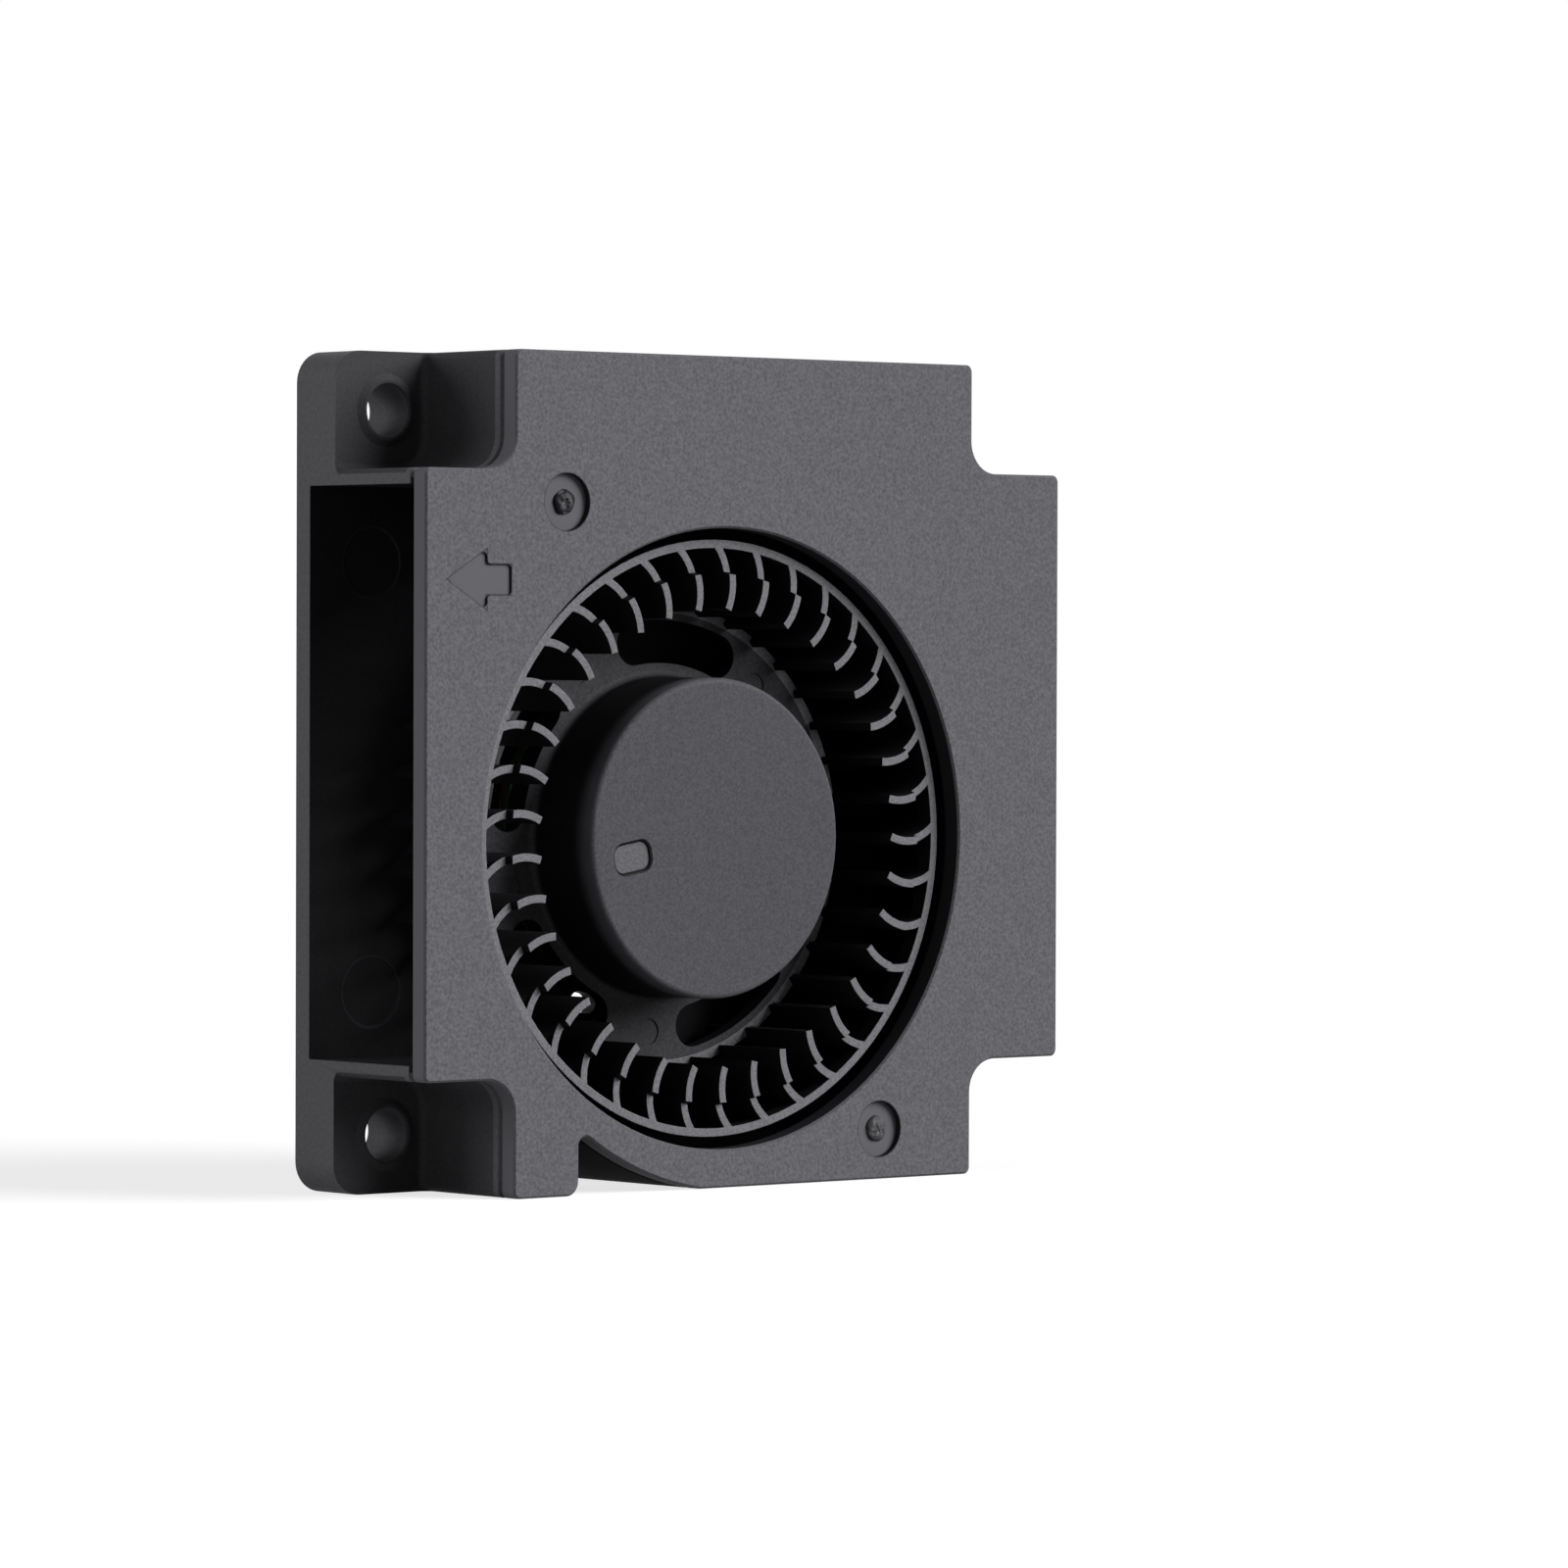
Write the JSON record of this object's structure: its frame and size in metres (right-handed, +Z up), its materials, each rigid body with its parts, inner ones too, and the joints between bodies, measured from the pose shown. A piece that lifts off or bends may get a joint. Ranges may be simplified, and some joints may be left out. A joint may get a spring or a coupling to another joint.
{
  "type": "dc blower fan",
  "caption": "Flat square centrifugal blower: scroll housing with corner ears, staked cover with a round inlet, side outlet, and a forward-curved impeller on a brushless hub motor.",
  "frame": {"origin": "middle of the bottom edge face, on the mid-plane of the depth", "axes": "+X to the right seen from the inlet, +Y from the inlet face to the back, +Z up"},
  "size_m": [0.04, 0.01, 0.04],
  "materials": {
    "case_plastic": "fine spark-eroded grain",
    "impeller_plastic": "smooth satin",
    "brass": "machined",
    "sintered_bronze": "dull, oil filled",
    "pad_plastic": "natural nylon",
    "core_steel": "stacked sheet",
    "bobbin_plastic": "natural nylon",
    "copper_wire": "enamelled",
    "board": "solder mask",
    "tinned_pin": "tinned",
    "chip_body": "moulded epoxy",
    "chip_ceramic": "fired ceramic",
    "yoke_steel": "zinc plated",
    "magnet": "bonded ferrite",
    "shaft_steel": "ground"
  },
  "bodies": {
    "case": {"housing": "case_plastic", "front_cover": "case_plastic", "bearing_tube": "brass", "sleeve_bearing": "sintered_bronze", "thrust_pad": "pad_plastic", "bearing_cap": "pad_plastic", "stator_core": "core_steel", "insulator_front": "bobbin_plastic", "insulator_back": "bobbin_plastic", "coil_right": "copper_wire", "coil_top": "copper_wire", "coil_left": "copper_wire", "coil_bottom": "copper_wire", "circuit_board": "board", "terminal_pins": "tinned_pin", "hall_sensor": "chip_body", "driver_chip": "chip_body", "chip_capacitor": "chip_ceramic", "chip_resistor": "chip_body", "reverse_diode": "chip_body"},
    "rotor": {"impeller": "impeller_plastic", "rotor_yoke": "yoke_steel", "ring_magnet": "magnet", "shaft": "shaft_steel", "retaining_ring": "pad_plastic", "oil_washer": "pad_plastic"}
  },
  "joints": [
    {"name": "rotor_spin", "type": "hinge", "parent": "case", "child": "rotor", "pos_m": [-0.0016, 0, 0.0168], "axis": [0, -1, 0], "continuous": true}
  ]
}
